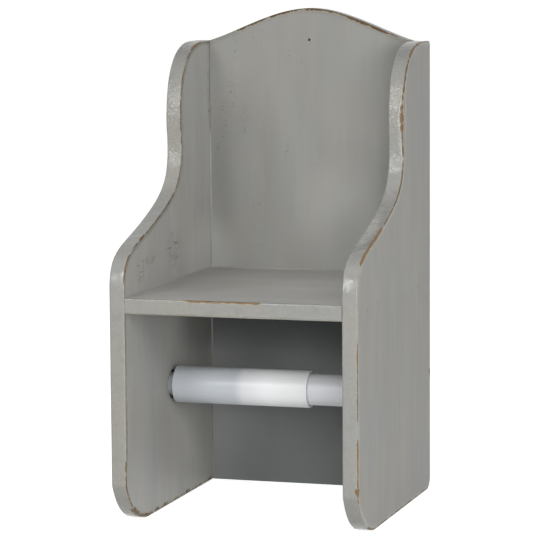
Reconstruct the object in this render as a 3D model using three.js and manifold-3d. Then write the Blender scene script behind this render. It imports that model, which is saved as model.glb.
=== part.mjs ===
// Toilet roll holder with shelf: a small painted wooden case shaped like a winged settle,
// with a spring-loaded plastic roller between its sides.
// Millimetres. +Z is up, the open front faces -Y, +X is to the right seen from the front,
// and the origin is the middle of the footprint, on the floor.
import * as THREE from 'three';
import { mergeVertices } from 'three/addons/utils/BufferGeometryUtils.js';
import Module from 'manifold-3d';

const wasm = await Module();
wasm.setup();

// Case: overall sizes and board thicknesses
const INNER_WIDTH = 140; // clear width between the two sides
const DEPTH = 180; // front edge to wall face
const SIDE_HEIGHT = 298.5; // floor to the level top of a side
const CREST_RISE = 21.5; // crest of the back panel above the sides
const SHELF_HEIGHT = 145; // floor to the top of the shelf
const SIDE_THICKNESS = 10;
const BACK_THICKNESS = 10;
const SHELF_THICKNESS = 10;
const EDGE_ROUND = 1.5; // sanded round on every free edge
const EDGE_STEPS = 2;

// Outline of a side. Depths run forward from the wall face.
const FOOT_RADIUS = 44; // wide round under the front of the foot
const FOOT_TURN = 67; // degrees of that round, up to where it meets the front edge
const HEEL_RADIUS = 8; // round at the rear of the foot
const CORNER_RADIUS = 3; // small round at the rear of the top
const ARM_ABOVE_SHELF = 5; // where the arm's round leaves the straight front edge
const ARM_SHOULDER = 25; // pull of the arm's round on the front edge
const KNEE_FROM_FRONT = 57.6; // middle of the sloping arm
const KNEE_ABOVE_SHELF = 41.5;
const ARM_SLOPE = 0.33; // fall of the arm at the knee
const ARM_REACH = 35.6; // how far the slope carries on to the front of the knee
const WAIST_DEPTH = 68.4; // narrow part of the wing
const WAIST_BELOW_TOP = 68;
const WING_DEPTH = 69.8; // fullest part of the wing
const WING_BELOW_TOP = 49.5;
const CROWN_FLAT = 20; // level top before the crown turns down
const SWEEP_PULL = 0.75; // fullness of the curves, as shares of their own spans
const SWEEP_DROP = 0.5;
const WAIST_PULL = 0.4;
const CROWN_PULL = 0.76;
const CROWN_DROP = 0.545;
const CURVE_STEPS = 10;

// Crest of the back panel, as half of an S-curve from the middle to the side
const CREST_FLAT = 24; // half width of the gentle top
const CREST_TAIL = 22; // how far the foot of the curve runs in from the side
const CREST_TAIL_RISE = 6.5;
const NAIL_HOLE_D = 1.6; // hole for a wall nail, under the middle of the crest
const NAIL_HOLE_BELOW_CREST = 21;
const NAIL_HOLE_SIDES = 12;

// Roller: two sleeves that telescope against a spring, with a pin at each end
const ROLLER_HEIGHT = 78; // floor to the roller's axis
const ROLLER_FROM_FRONT = 90; // front edge to the roller's axis
const INNER_SLEEVE_D = 20.4;
const SLEEVE_CLEARANCE = 0.3; // radial play of one sleeve in the other
const CATCH = 0.2; // overlap of the flange and the lip that keep the sleeves together
const OUTER_SLEEVE_WALL = 1;
const INNER_SLEEVE_WALL = 1.2;
const LIP_LENGTH = 2.5; // lip inside the mouth of the outer sleeve
const FLANGE_LENGTH = 2.5; // flange at the hidden end of the inner sleeve
const END_WALL = 2; // closed ends of the sleeves
const END_GAP = 3; // sleeve end to the side next to it
const MOUTH_FROM_LEFT = 94; // left side to the mouth of the outer sleeve
const SLEEVE_OVERLAP = 46; // length of inner sleeve inside the outer one, where it shows whiter
const SLEEVE_ROUND = 0.8; // rounds on the sleeves' rims
const PIN_D = 15;
const PIN_CHAMFER = 1.5;
const SOCKET_D = 19; // blind holes in the sides for the pins
const SOCKET_DEPTH = 7;
const SEAT_GAP = 0.3; // gap between parts that touch under the spring
const ROUND_STEPS = 36; // facets round the sleeves and sockets

// Spring inside the sleeves
const WIRE_D = 1.2;
const SPRING_D = 15; // outside diameter
const SPRING_TURNS = 22;
const SPRING_END_TURNS = 1.5; // closed turns at each end
const SPRING_END_GAP = 0.6; // gap between the closed turns
const TURN_STEPS = 8;
const WIRE_SIDES = 5;

// Brads that pin the boards together, set below the face and filled over
const BRAD_D = 1.6;
const BRAD_HEAD_D = 2.6;
const BRAD_HEAD = 0.8;
const BRAD_POINT = 3;
const BRAD_LENGTH = 28;
const BRAD_SET = 1; // depth of the head under the board's face
const BRAD_CLEARANCE = 0.3;
const BRAD_SIDES = 8;
const SHELF_BRAD_FRONT = 21; // front edge to the first brad in a shelf end
const SHELF_BRAD_STEP = 26; // first to second brad
const SHELF_BRAD_REAR = 24; // last brad to the back panel
const BACK_BRADS = 4; // up each edge of the back panel
const BACK_BRAD_FOOT = 28; // floor to the lowest
const BACK_BRAD_TOP = 40; // top of the side to the highest
const REAR_BRAD_SPREAD = 70; // between the two brads through the back into the shelf

// Worked-out places
const FRONT = -DEPTH / 2;
const REAR = DEPTH / 2;
const BACK_FACE = REAR - BACK_THICKNESS; // front face of the back panel
const INNER = INNER_WIDTH / 2;
const OUTER = INNER + SIDE_THICKNESS;
const AXIS_Y = FRONT + ROLLER_FROM_FRONT;
const SHELF_MID = SHELF_HEIGHT - SHELF_THICKNESS / 2;
const SLEEVE_END = INNER - END_GAP; // both closed ends lie this far from the middle
const MOUTH = MOUTH_FROM_LEFT - INNER;
const PIN_TIP = INNER + SOCKET_DEPTH - SEAT_GAP;
const LIP_R = INNER_SLEEVE_D / 2 + SLEEVE_CLEARANCE;
const FLANGE_R = LIP_R + CATCH;
const BORE_R = FLANGE_R + SLEEVE_CLEARANCE;
const OUTER_SLEEVE_R = BORE_R + OUTER_SLEEVE_WALL;
const CUT_MARGIN = 5; // how far cutters run past what they cut
const SAME_POINT = 1e-4; // corners closer than this are one

const PAINT = { color: 0x9c9c94, roughness: 0.6, metalness: 0 };
const PLASTIC = { color: 0xeeeeec, roughness: 0.35, metalness: 0 };
const SPRING_STEEL = { color: 0xa8a8a8, roughness: 0.3, metalness: 1 };
const BRAD_STEEL = { color: 0x8c8c88, roughness: 0.4, metalness: 1 };

// Shared vertices and no needle triangles, so that the surface is one closed skin
function closedSkin(geometry) {
  const bare = new THREE.BufferGeometry();
  bare.setAttribute('position', geometry.getAttribute('position'));
  bare.setIndex(geometry.getIndex());
  const merged = mergeVertices(bare, SAME_POINT);
  const corners = merged.getIndex().array;
  const kept = [];
  for (let i = 0; i < corners.length; i += 3) {
    const [a, b, c] = corners.slice(i, i + 3);
    if (a !== b && b !== c && c !== a) kept.push(a, b, c);
  }
  merged.setIndex(kept);
  return merged;
}

function toSolid(geometry) {
  const skin = closedSkin(geometry);
  return new wasm.Manifold(new wasm.Mesh({
    numProp: 3,
    vertProperties: new Float32Array(skin.getAttribute('position').array),
    triVerts: new Uint32Array(skin.getIndex().array),
  }));
}

function toGeometry(solid) {
  const mesh = solid.getMesh();
  const geometry = new THREE.BufferGeometry();
  geometry.setAttribute('position', new THREE.BufferAttribute(mesh.vertProperties, 3));
  geometry.setIndex(new THREE.BufferAttribute(mesh.triVerts, 1));
  return geometry;
}

function cutAway(geometry, cutters) {
  const rest = cutters.reduce((solid, cutter) => solid.subtract(toSolid(cutter)), toSolid(geometry));
  return toGeometry(rest);
}

// Extrusion of an outline drawn in (Y, Z), along +X from x0
function boardAlongX(outline, x0, thickness, options) {
  const geometry = new THREE.ExtrudeGeometry(outline, { depth: thickness, ...options });
  const axes = new THREE.Matrix4().makeBasis(
    new THREE.Vector3(0, 1, 0), new THREE.Vector3(0, 0, 1), new THREE.Vector3(1, 0, 0));
  return geometry.applyMatrix4(axes).translate(x0, 0, 0);
}

// Rounds on both rims of an extruded outline, inside its given size
function roundedRims() {
  return {
    bevelEnabled: true, bevelThickness: EDGE_ROUND, bevelSize: EDGE_ROUND, bevelOffset: -EDGE_ROUND,
    bevelSegments: EDGE_STEPS, curveSegments: CURVE_STEPS,
  };
}

// Profile of radii and places along X, turned about the X axis
function turnedAlongX(profile, steps) {
  const points = profile.map(([radius, x]) => new THREE.Vector2(radius, x));
  return new THREE.LatheGeometry(points, steps).rotateZ(-Math.PI / 2);
}

// Left and right sides

function sideOutline() {
  const y = (depth) => REAR - depth;
  const top = SIDE_HEIGHT;
  const arm = SHELF_HEIGHT + ARM_ABOVE_SHELF;
  const knee = { depth: DEPTH - KNEE_FROM_FRONT, z: SHELF_HEIGHT + KNEE_ABOVE_SHELF };
  const waist = top - WAIST_BELOW_TOP;
  const wing = top - WING_BELOW_TOP;
  const sweep = SWEEP_PULL * (knee.depth - WAIST_DEPTH);
  const pinch = WAIST_PULL * (wing - waist);
  const turn = THREE.MathUtils.degToRad(FOOT_TURN);
  const toe = y(DEPTH - FOOT_RADIUS * Math.sin(turn));
  const outline = new THREE.Shape();
  outline.moveTo(y(HEEL_RADIUS), 0);
  outline.lineTo(toe, 0);
  outline.absarc(toe, FOOT_RADIUS, FOOT_RADIUS, -Math.PI / 2, -Math.PI / 2 - turn, true);
  outline.lineTo(y(DEPTH), arm);
  outline.bezierCurveTo(
    y(DEPTH), arm + ARM_SHOULDER,
    y(knee.depth + ARM_REACH), knee.z - ARM_SLOPE * ARM_REACH,
    y(knee.depth), knee.z);
  outline.bezierCurveTo(
    y(knee.depth - sweep), knee.z + ARM_SLOPE * sweep,
    y(WAIST_DEPTH), waist - SWEEP_DROP * (waist - knee.z),
    y(WAIST_DEPTH), waist);
  outline.bezierCurveTo(
    y(WAIST_DEPTH), waist + pinch,
    y(WING_DEPTH), wing - pinch,
    y(WING_DEPTH), wing);
  outline.bezierCurveTo(
    y(WING_DEPTH), wing + CROWN_DROP * (top - wing),
    y(CROWN_FLAT + CROWN_PULL * (WING_DEPTH - CROWN_FLAT)), top,
    y(CROWN_FLAT), top);
  outline.lineTo(y(CORNER_RADIUS), top);
  outline.quadraticCurveTo(y(0), top, y(0), top - CORNER_RADIUS);
  outline.lineTo(y(0), HEEL_RADIUS);
  outline.absarc(y(HEEL_RADIUS), HEEL_RADIUS, HEEL_RADIUS, 0, -Math.PI / 2, true);
  return outline;
}

// Blind hole for a roller pin, opening at the inner face of the side on that hand
function pinSocket(hand) {
  const radius = SOCKET_D / 2;
  const floor = INNER + SOCKET_DEPTH;
  const mouth = INNER - CUT_MARGIN;
  const profile = [[0, -floor], [radius, -floor], [radius, -mouth], [0, -mouth]];
  const left = turnedAlongX(profile, ROUND_STEPS);
  return (hand < 0 ? left : left.rotateZ(Math.PI)).translate(0, AXIS_Y, ROLLER_HEIGHT);
}

function side(hand) {
  const flat = SIDE_THICKNESS - 2 * EDGE_ROUND;
  const board = boardAlongX(sideOutline(), (hand < 0 ? -OUTER : INNER) + EDGE_ROUND, flat, roundedRims());
  return cutAway(board, [pinSocket(hand), ...bradHoles([...shelfBrads(hand), ...backBrads(hand)])]);
}

// Back panel: rounded along the crest, square where it meets the sides and the floor

function crestOutline() {
  const crest = SIDE_HEIGHT + CREST_RISE;
  const wide = INNER + CUT_MARGIN;
  const outline = new THREE.Shape();
  outline.moveTo(-wide, -CUT_MARGIN);
  outline.lineTo(wide, -CUT_MARGIN);
  outline.lineTo(wide, SIDE_HEIGHT);
  outline.lineTo(INNER, SIDE_HEIGHT);
  outline.bezierCurveTo(
    INNER - CREST_TAIL, SIDE_HEIGHT + CREST_TAIL_RISE, CREST_FLAT, crest, 0, crest);
  outline.bezierCurveTo(
    -CREST_FLAT, crest, -INNER + CREST_TAIL, SIDE_HEIGHT + CREST_TAIL_RISE, -INNER, SIDE_HEIGHT);
  outline.lineTo(-wide, SIDE_HEIGHT);
  return outline;
}

function nailHole() {
  const length = BACK_THICKNESS + 2 * CUT_MARGIN;
  return new THREE.CylinderGeometry(NAIL_HOLE_D / 2, NAIL_HOLE_D / 2, length, NAIL_HOLE_SIDES)
    .translate(0, REAR - BACK_THICKNESS / 2, SIDE_HEIGHT + CREST_RISE - NAIL_HOLE_BELOW_CREST);
}

function backPanel() {
  const flat = BACK_THICKNESS - 2 * EDGE_ROUND;
  const board = new THREE.ExtrudeGeometry(crestOutline(), { depth: flat, ...roundedRims() })
    .rotateX(Math.PI / 2).translate(0, REAR - EDGE_ROUND, 0);
  const height = SIDE_HEIGHT + CREST_RISE + CUT_MARGIN;
  const between = new THREE.BoxGeometry(INNER_WIDTH, BACK_THICKNESS + 2 * CUT_MARGIN, height)
    .translate(0, REAR - BACK_THICKNESS / 2, height / 2);
  const trimmed = toGeometry(toSolid(board).intersect(toSolid(between)));
  const brads = [...backBrads(-1), ...backBrads(1), ...rearBrads()];
  return cutAway(trimmed, [nailHole(), ...bradHoles(brads)]);
}

// Shelf: butted between the sides, with a rounded front edge

function shelfOutline() {
  const bottom = SHELF_HEIGHT - SHELF_THICKNESS;
  const outline = new THREE.Shape();
  outline.moveTo(BACK_FACE, bottom);
  outline.lineTo(BACK_FACE, SHELF_HEIGHT);
  outline.lineTo(FRONT + EDGE_ROUND, SHELF_HEIGHT);
  outline.quadraticCurveTo(FRONT, SHELF_HEIGHT, FRONT, SHELF_HEIGHT - EDGE_ROUND);
  outline.lineTo(FRONT, bottom + EDGE_ROUND);
  outline.quadraticCurveTo(FRONT, bottom, FRONT + EDGE_ROUND, bottom);
  return outline;
}

function shelf() {
  const options = { bevelEnabled: false, curveSegments: 2 * EDGE_STEPS };
  const board = boardAlongX(shelfOutline(), -INNER, INNER_WIDTH, options);
  return cutAway(board, bradHoles([...shelfBrads(-1), ...shelfBrads(1), ...rearBrads()]));
}

// Roller sleeves, drawn with the pin end first

function outerSleeve() {
  const radius = OUTER_SLEEVE_R;
  const profile = [
    [0, -PIN_TIP],
    [PIN_D / 2 - PIN_CHAMFER, -PIN_TIP],
    [PIN_D / 2, -PIN_TIP + PIN_CHAMFER],
    [PIN_D / 2, -SLEEVE_END],
    [radius - SLEEVE_ROUND, -SLEEVE_END],
    [radius, -SLEEVE_END + SLEEVE_ROUND],
    [radius, MOUTH - SLEEVE_ROUND],
    [radius - SLEEVE_ROUND, MOUTH],
    [LIP_R, MOUTH],
    [LIP_R, MOUTH - LIP_LENGTH],
    [BORE_R, MOUTH - LIP_LENGTH],
    [BORE_R, -SLEEVE_END + END_WALL],
    [0, -SLEEVE_END + END_WALL],
  ];
  return closedSkin(turnedAlongX(profile, ROUND_STEPS).translate(0, AXIS_Y, ROLLER_HEIGHT));
}

function innerSleeve() {
  const radius = INNER_SLEEVE_D / 2;
  const bore = radius - INNER_SLEEVE_WALL;
  const start = MOUTH - SLEEVE_OVERLAP;
  const profile = [
    [0, SLEEVE_END - END_WALL],
    [bore, SLEEVE_END - END_WALL],
    [bore, start],
    [FLANGE_R, start],
    [FLANGE_R, start + FLANGE_LENGTH],
    [radius, start + FLANGE_LENGTH],
    [radius, SLEEVE_END - SLEEVE_ROUND],
    [radius - SLEEVE_ROUND, SLEEVE_END],
    [PIN_D / 2, SLEEVE_END],
    [PIN_D / 2, PIN_TIP - PIN_CHAMFER],
    [PIN_D / 2 - PIN_CHAMFER, PIN_TIP],
    [0, PIN_TIP],
  ];
  return closedSkin(turnedAlongX(profile, ROUND_STEPS).translate(0, AXIS_Y, ROLLER_HEIGHT));
}

// Spring: one wire wound as a helix with closed end turns, between the sleeves' end walls

function springPath() {
  const ends = SLEEVE_END - END_WALL - SEAT_GAP - WIRE_D / 2;
  const closedPitch = WIRE_D + SPRING_END_GAP;
  const openTurns = SPRING_TURNS - 2 * SPRING_END_TURNS;
  const openPitch = (2 * ends - 2 * SPRING_END_TURNS * closedPitch) / openTurns;
  const radius = (SPRING_D - WIRE_D) / 2;
  const points = [];
  for (let i = 0; i <= SPRING_TURNS * TURN_STEPS; i += 1) {
    const turn = i / TURN_STEPS;
    const open = Math.min(Math.max(turn - SPRING_END_TURNS, 0), openTurns);
    const x = -ends + closedPitch * (turn - open) + openPitch * open;
    const angle = 2 * Math.PI * turn;
    points.push(new THREE.Vector3(x, radius * Math.cos(angle), radius * Math.sin(angle)));
  }
  return points;
}

// Least gap between the wire and its own next turns, on the points of the path
function leastGap(path) {
  let least = Infinity;
  for (let i = 0; i < path.length; i += 1) {
    for (let j = i + TURN_STEPS / 2; j < path.length; j += 1) {
      least = Math.min(least, path[i].distanceTo(path[j]));
    }
  }
  return least - WIRE_D;
}

// Ring of wire corners round one point of the path, square to the path there
function wireRing(path, i) {
  const ahead = path[Math.min(i + 1, path.length - 1)];
  const behind = path[Math.max(i - 1, 0)];
  const along = ahead.clone().sub(behind).normalize();
  const outward = new THREE.Vector3(0, path[i].y, path[i].z).normalize();
  const across = along.clone().cross(outward).normalize();
  const square = across.clone().cross(along);
  return Array.from({ length: WIRE_SIDES }, (_, k) => {
    const angle = (2 * Math.PI * k) / WIRE_SIDES;
    return path[i].clone()
      .addScaledVector(square, (WIRE_D / 2) * Math.cos(angle))
      .addScaledVector(across, (WIRE_D / 2) * Math.sin(angle));
  });
}

// Walls between the rings and a fan over each end of the wire
function wireAlong(path) {
  const corners = path.flatMap((_, i) => wireRing(path, i));
  const triangles = [];
  const last = (path.length - 1) * WIRE_SIDES;
  for (let i = 0; i < path.length - 1; i += 1) {
    for (let k = 0; k < WIRE_SIDES; k += 1) {
      const a = i * WIRE_SIDES + k;
      const b = i * WIRE_SIDES + ((k + 1) % WIRE_SIDES);
      triangles.push(a, b, a + WIRE_SIDES, b, b + WIRE_SIDES, a + WIRE_SIDES);
    }
  }
  for (let k = 1; k < WIRE_SIDES - 1; k += 1) {
    triangles.push(0, k + 1, k, last, last + k, last + k + 1);
  }
  const geometry = new THREE.BufferGeometry().setFromPoints(corners);
  geometry.setIndex(triangles);
  return geometry;
}

function spring() {
  const path = springPath();
  console.log(`spring: least gap between turns ${leastGap(path).toFixed(2)} mm`);
  return wireAlong(path).translate(0, AXIS_Y, ROLLER_HEIGHT);
}

// Brads: where each head lies, and which way the brad was driven

function shelfBrads(hand) {
  const places = [
    FRONT + SHELF_BRAD_FRONT,
    FRONT + SHELF_BRAD_FRONT + SHELF_BRAD_STEP,
    BACK_FACE - SHELF_BRAD_REAR,
  ];
  const x = hand * (OUTER - BRAD_SET);
  return places.map((y) => ({
    head: new THREE.Vector3(x, y, SHELF_MID),
    way: new THREE.Vector3(-hand, 0, 0),
  }));
}

function backBrads(hand) {
  const rise = (SIDE_HEIGHT - BACK_BRAD_TOP - BACK_BRAD_FOOT) / (BACK_BRADS - 1);
  const x = hand * (OUTER - BRAD_SET);
  return Array.from({ length: BACK_BRADS }, (_, i) => ({
    head: new THREE.Vector3(x, REAR - BACK_THICKNESS / 2, BACK_BRAD_FOOT + i * rise),
    way: new THREE.Vector3(-hand, 0, 0),
  }));
}

function rearBrads() {
  return [-1, 1].map((hand) => ({
    head: new THREE.Vector3((hand * REAR_BRAD_SPREAD) / 2, REAR - BRAD_SET, SHELF_MID),
    way: new THREE.Vector3(0, -1, 0),
  }));
}

// A brad, or the slightly larger hole that it fills
function bradShape({ head, way }, clearance) {
  const headRadius = BRAD_HEAD_D / 2 + clearance;
  const radius = BRAD_D / 2 + clearance;
  const profile = [
    [0, -clearance],
    [headRadius, -clearance],
    [headRadius, BRAD_HEAD + clearance],
    [radius, BRAD_HEAD + clearance],
    [radius, BRAD_LENGTH - BRAD_POINT],
    [0, BRAD_LENGTH + clearance],
  ];
  const turn = new THREE.Quaternion().setFromUnitVectors(new THREE.Vector3(1, 0, 0), way);
  return turnedAlongX(profile, BRAD_SIDES).applyQuaternion(turn).translate(head.x, head.y, head.z);
}

function bradHoles(brads) {
  return brads.map((brad) => bradShape(brad, BRAD_CLEARANCE));
}

// The whole holder

const holder = new THREE.Group();

function addPiece(name, geometry, finish) {
  const piece = new THREE.Mesh(geometry, new THREE.MeshStandardMaterial(finish));
  piece.name = name;
  holder.add(piece);
}

function addBrads(name, brads) {
  brads.forEach((brad, i) => addPiece(`${name}_${i + 1}`, closedSkin(bradShape(brad, 0)), BRAD_STEEL));
}

addPiece('left_side', side(-1), PAINT);
addPiece('right_side', side(1), PAINT);
addPiece('back_panel', backPanel(), PAINT);
addPiece('shelf', shelf(), PAINT);
addPiece('outer_sleeve', outerSleeve(), PLASTIC);
addPiece('inner_sleeve', innerSleeve(), PLASTIC);
addPiece('roller_spring', spring(), SPRING_STEEL);
addBrads('shelf_brad_left', shelfBrads(-1));
addBrads('shelf_brad_right', shelfBrads(1));
addBrads('back_brad_left', backBrads(-1));
addBrads('back_brad_right', backBrads(1));
addBrads('rear_brad', rearBrads());

export default holder;
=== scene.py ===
# Looks of the toilet roll holder with shelf: boards in worn grey paint, a white sprung roller
# between them, and the studio around them. Sizes are in millimetres until a mesh is made.
import math
from collections import namedtuple

import bmesh
import bpy
import numpy as np
from mathutils import Matrix, Vector, geometry, noise


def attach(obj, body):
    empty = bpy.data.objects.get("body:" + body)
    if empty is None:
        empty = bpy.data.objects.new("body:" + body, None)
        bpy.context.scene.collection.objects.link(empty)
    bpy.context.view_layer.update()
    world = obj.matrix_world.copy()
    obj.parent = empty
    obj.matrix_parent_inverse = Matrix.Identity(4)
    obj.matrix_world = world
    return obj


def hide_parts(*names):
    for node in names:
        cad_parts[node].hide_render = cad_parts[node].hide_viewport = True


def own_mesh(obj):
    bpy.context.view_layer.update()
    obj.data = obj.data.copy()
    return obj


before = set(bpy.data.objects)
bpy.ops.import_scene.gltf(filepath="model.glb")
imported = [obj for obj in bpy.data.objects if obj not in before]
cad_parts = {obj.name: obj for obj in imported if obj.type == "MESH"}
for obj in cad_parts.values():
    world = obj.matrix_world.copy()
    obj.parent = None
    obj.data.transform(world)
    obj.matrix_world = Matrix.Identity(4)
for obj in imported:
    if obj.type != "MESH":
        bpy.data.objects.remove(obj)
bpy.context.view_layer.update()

MM = 0.001
X, Y, Z = range(3)  # axes

# Boards
INNER = 70.0  # middle of the holder to a side's inner face
SIDE_THICKNESS = 10.0
BACK_THICKNESS = 10.0
SHELF_THICKNESS = 10.0
FRONT = -90.0
REAR = 90.0
DEPTH = REAR - FRONT
SIDE_HEIGHT = 298.5
CREST_HEIGHT = 320.0
SHELF_HEIGHT = 145.0
SHELF_UNDERSIDE = SHELF_HEIGHT - SHELF_THICKNESS
BACK_FACE = REAR - BACK_THICKNESS
PANEL_GAP = 0.35  # shrinkage crack between the back panel and a side
OUTLINE_STEP = 1.2  # spacing of the points along an outline

# Sanding of the free edges. The round of their corners varies along them: it always has its least
# share, and the rest comes and goes. Hollows dip the edges. Waves are the lengths of such changes.
EDGE_ROUND = 0.9
ROUND_LEAST = 0.7
ROUND_REST = 0.5
HIDDEN_ROUND = 0.3  # on the corners against the wall and the floor
SHELF_LOWER_ROUND = 2.0  # the shelf's lower corner is so many times rounder than its upper one
SIDE_ROUND_WAVE = 25.0
SIDE_HOLLOW = 0.08
SIDE_HOLLOW_WAVE = 14.0
PANEL_ROUND_WAVE = 20.0
PANEL_HOLLOW = 0.15
PANEL_HOLLOW_WAVE = 12.0

# Outline of a side. Depths run forward from the wall face.
FOOT_RADIUS = 44.0
FOOT_TURN = math.radians(67)
HEEL_RADIUS = 8.0
HEEL_PULL = 0.45
TOP_CORNER = 3.0
ARM_START = 150.0
ARM_SHOULDER = 25.0
KNEE = (122.4, 186.5)
ARM_SLOPE = 0.33
ARM_REACH = 35.6
WAIST = (68.4, 230.5)
WING = (69.8, 249.0)
CROWN_FLAT = 20.0
SWEEP_PULL = 0.75
SWEEP_DROP = 0.5
WAIST_PULL = 0.4
CROWN_PULL = 0.76
CROWN_DROP = 0.545
CURVE_STEPS = 60
SANDED_ROUND = 3.6  # the right wing's outer corner is sanded rounder by so much
SANDED_HEIGHT = 248.0
SANDED_SPREAD = 26.0
CROWN_SHADE_START = 270.0  # painted shade darkens the edges from this height up
CROWN_SHADE_FULL = 292.0
CROWN_SHADE_SHARE = 0.45

# Crest of the back panel
CREST_FLAT = 24.0
CREST_TAIL = 22.0
CREST_TAIL_RISE = 6.5

# Roller
AXIS_HEIGHT = 78.0
SLEEVE_SIDES = 96
OUTER_SLEEVE_RADIUS = 12.0
OUTER_SLEEVE_BORE = 11.0
INNER_SLEEVE_RADIUS = 10.2
INNER_SLEEVE_BORE = 9.0
SLEEVE_END = 67.0
SLEEVE_ROUND = 0.8
END_WALL = 2.0
PIN_TIP = 76.7
PIN_RADIUS = 7.5
PIN_TIP_ROUND = 1.5
PIN_ROOT_ROUND = 0.4
MOUTH = 24.0
MOUTH_ROUND = 0.5
LIP_RADIUS = 10.5
LIP_LENGTH = 2.5
LIP_ROUND = 0.3
INNER_START = -22.0
FLANGE_RADIUS = 10.7
FLANGE_LENGTH = 2.5
FLANGE_ROUND = 0.2
SEAM_DEPTH = 0.05
SPRING_REACH = 64.7
SPRING_RADIUS = 6.9  # to the middle of the wire
SPRING_TURNS = 22
SPRING_TURN_STEPS = 24
SPRING_END_TURNS = 1.5
SPRING_END_PITCH = 1.8
WIRE_RADIUS = 0.6
WIRE_SIDES = 8

# Round hollows, each with rings of radius and depth from its rim inwards: the roller's sockets, the
# nail hole through the back panel and the filled dimples over the shelf brads
SOCKET_RADIUS = 9.5
SOCKET_DEPTH = 7.0
SOCKET_RINGS = (
    (SOCKET_RADIUS + 0.35, 0.0),
    (SOCKET_RADIUS + 0.1, 0.1),
    (SOCKET_RADIUS, 0.4),
    (SOCKET_RADIUS, SOCKET_DEPTH - 0.3),
    (SOCKET_RADIUS - 0.4, SOCKET_DEPTH),
)
SOCKET_SIDES = 64
NAIL_HOLE = (0.0, 299.0)  # x and z
NAIL_HOLE_RADIUS = 0.8
NAIL_HOLE_RINGS = (
    (NAIL_HOLE_RADIUS + 0.2, 0.0),
    (NAIL_HOLE_RADIUS, 0.25),
    (NAIL_HOLE_RADIUS, BACK_THICKNESS - 0.1),
    (NAIL_HOLE_RADIUS + 0.1, BACK_THICKNESS),
)
DIMPLES = ((-69.0, 140.0), (-43.0, 140.0), (56.0, 140.0))  # y and z
DIMPLE_RINGS = ((1.6, 0.0), (1.1, 0.1), (0.5, 0.2))
SMALL_HOLLOW_SIDES = 16

# Filler beads in the inside corners: a hollow fillet, drawn here for a width of 1. A bead always has
# the least share of its width, the rest comes and goes in waves, and it tapers to its two tips.
BEAD_SECTION = ((1.0, 0.0), (0.52, 0.1), (0.26, 0.26), (0.1, 0.52), (0.0, 1.0), (0.0, 0.0))
BEAD_STEP = 2.0
BEAD_LEAST = 0.6
BEAD_REST = 0.8
BEAD_WAVE = 9.0
BEAD_TIP = 0.35
BEAD_TAPER = 0.2
BEAD_FOOT = 2.0
BEAD_TOP = 238.0
BEAD_FRONT = FRONT + 4.0
BACK_BEAD = 0.8
SHELF_TOP_BEAD = 1.3
SHELF_UNDER_BEAD = 0.6
SHELF_BACK_BEAD = 1.1

# Worn stretches of a board's corners, from start to end. Places are (y, z) on a side and x on the
# crest and the shelf. Width is the bare strip's; loss under a half shows only the primer; stain
# runs from fresh orange wood to dark brown.
Stretch = namedtuple("Stretch", "start end width loss stain")
RIGHT_OUTER_WEAR = (
    Stretch((-90, 123), (-90, 72), 1.0, 1.0, 0.4),
    Stretch((-90, 64), (-89, 20), 1.3, 1.0, 0.3),
    Stretch((-90, 35), (-90, 26), 4.0, 1.1, 0.2),
    Stretch((-90, 150), (-80, 166), 1.2, 0.36, 0.2),
    Stretch((-80, 166), (-29, 187), 2.2, 1.0, 0.1),
    Stretch((-29, 187), (21, 226), 1.0, 1.0, 0.6),
    Stretch((21, 226), (20, 243), 1.1, 0.95, 0.6),
    Stretch((20, 241), (22, 262), 2.6, 1.0, 0.4),
    Stretch((22, 262), (26, 276), 1.7, 1.0, 0.5),
    Stretch((22, 266), (36, 290), 1.3, 1.0, 0.6),
    Stretch((36, 290), (66, 298), 2.0, 1.0, 0.4),
    Stretch((62, 298), (87, 298), 1.2, 1.0, 0.5),
    Stretch((90, 283), (90, 272), 3.0, 1.0, 0.5),
    Stretch((90, 171), (90, 160), 3.0, 1.0, 0.5),
    Stretch((90, 83), (90, 75), 6.0, 1.4, 0.9),
    Stretch((-70, 3), (-15, 0), 1.9, 1.0, 0.8),
    Stretch((-15, 0), (84, 1), 1.6, 1.0, 0.9),
)
RIGHT_INNER_WEAR = (
    Stretch((-90, 130), (-90, 40), 1.4, 0.34, 0.2),
    Stretch((-60, 178), (66, 298), 1.5, 0.38, 0.2),
    Stretch((-88, 16), (-40, 0), 0.8, 0.95, 0.6),
)
LEFT_INNER_WEAR = (
    Stretch((-90, 153), (-76, 173), 1.1, 1.0, 0.4),
    Stretch((-76, 173), (-62, 178), 0.8, 0.9, 0.6),
    Stretch((-62, 178), (-50, 181), 1.5, 1.0, 0.7),
    Stretch((-50, 181), (7, 204), 0.8, 0.95, 0.8),
    Stretch((7, 204), (20, 240), 0.7, 0.75, 0.6),
    Stretch((20, 240), (43, 293), 0.8, 0.85, 0.6),
    Stretch((43, 293), (68, 298), 1.4, 1.0, 0.3),
    Stretch((-90, 134), (-90, 46), 1.8, 0.36, 0.0),
    Stretch((-90, 44), (-78, 8), 1.1, 1.0, 0.6),
    Stretch((-80, 10), (-40, 0), 4.6, 1.0, 0.6),
    Stretch((-40, 0), (80, 0), 5.5, 0.8, 0.7),
)
LEFT_OUTER_WEAR = (
    Stretch((20, 240), (20, 256), 0.9, 0.9, 0.4),
    Stretch((-84, 163), (-68, 172), 0.8, 0.9, 0.3),
    Stretch((-62, 0), (60, 0), 1.0, 0.95, 0.6),
)
CREST_WEAR = (
    Stretch(-51, -28, 1.7, 1.0, 1.0),
    Stretch(-30, -3, 2.1, 1.0, 0.9),
    Stretch(-4, 22, 1.7, 1.0, 0.9),
    Stretch(19, 55, 2.8, 1.0, 0.8),
    Stretch(53, 62, 1.0, 0.9, 0.9),
)
SHELF_WEAR = (
    Stretch(-62, -30, 1.6, 0.38, 0.0),
    Stretch(-31, 21, 1.9, 1.0, 0.1),
    Stretch(24, 62, 1.6, 0.38, 0.0),
)
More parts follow.
